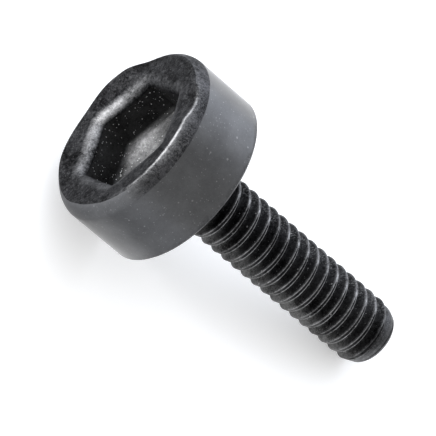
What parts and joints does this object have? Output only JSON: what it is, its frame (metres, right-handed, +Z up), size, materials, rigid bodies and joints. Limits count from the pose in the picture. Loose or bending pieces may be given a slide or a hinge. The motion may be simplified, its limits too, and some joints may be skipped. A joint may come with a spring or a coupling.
{
  "type": "hexagon socket head screw",
  "caption": "Black steel screw with a wide plain cylinder head, a large hexagon socket and a coarse right-hand thread up to the head, with a chamfered tip.",
  "frame": {"origin": "on the floor, below the middle of the box around the lying screw", "axes": "+X from the head to the tip along the floor, +Z up; the screw's own axis dips 13.0 degrees toward the tip"},
  "size_m": [0.0336, 0.0168, 0.0178],
  "materials": {
    "black_steel": "black oxide, satin on the head's wall and rougher on its top, in the socket and on the thread"
  },
  "bodies": {
    "root": {"screw": "black_steel"}
  },
  "joints": []
}
